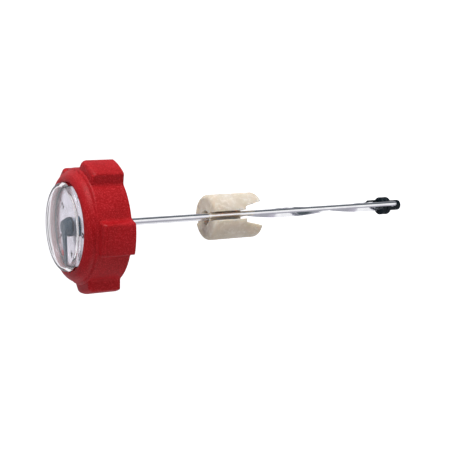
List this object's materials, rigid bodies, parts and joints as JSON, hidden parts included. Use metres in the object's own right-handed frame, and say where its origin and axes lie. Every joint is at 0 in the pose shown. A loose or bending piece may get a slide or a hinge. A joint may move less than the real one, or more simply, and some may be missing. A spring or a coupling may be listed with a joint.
{
  "type": "tank level gauge",
  "caption": "Screw-on tank cap with a dial under a clear lens, turned by a foam float that slides down a guide rod and a twisted strip.",
  "frame": {"origin": "centre of the face that seals on the rim of the tank neck, on the axis of the cap", "axes": "+Z along the stem, up and out of the tank; the guide rod stands on the -Y side of the axis"},
  "size_m": [0.0736, 0.0754, 0.2383],
  "materials": {
    "red_plastic": "moulded, semi-matt",
    "clear_plastic": "clear, polished",
    "black_rubber": "matt",
    "spring_steel": "plain",
    "base_plastic": "moulded, semi-matt",
    "dial_metal": "bright, printed",
    "bearing_plastic": "plain",
    "bright_steel": "bright drawn",
    "foot_plastic": "moulded",
    "float_foam": "mottled foam",
    "pointer_plastic": "satin"
  },
  "bodies": {
    "cap": {"cap_shell": "red_plastic", "lens": "clear_plastic", "lens_gasket": "black_rubber", "neck_gasket": "black_rubber", "retaining_ring": "spring_steel", "gauge_base": "base_plastic", "vent_valve": "black_rubber", "dial_plate": "dial_metal", "upper_bush": "bearing_plastic", "spindle_seal": "black_rubber", "thrust_washer": "bearing_plastic", "rod_retainer": "spring_steel", "guide_rod": "bright_steel", "foot": "foot_plastic"},
    "float": {"float": "float_foam"},
    "indicator": {"spindle": "bright_steel", "spindle_clip": "spring_steel", "strip_rivet": "bright_steel", "twisted_strip": "bright_steel", "pointer": "pointer_plastic"}
  },
  "joints": [
    {"name": "float_slide", "type": "slide", "parent": "cap", "child": "float", "axis": [0, 0, 1], "range_m": [-0.099, 0]},
    {"name": "indicator_spin", "type": "hinge", "parent": "cap", "child": "indicator", "pos_m": [0, 0, 0], "axis": [0, 0, 1], "range_deg": [-290.1, 0]}
  ],
  "couplings": [
    {"joint": "indicator_spin", "follows": "float_slide", "rad_per_m": 51.138}
  ]
}
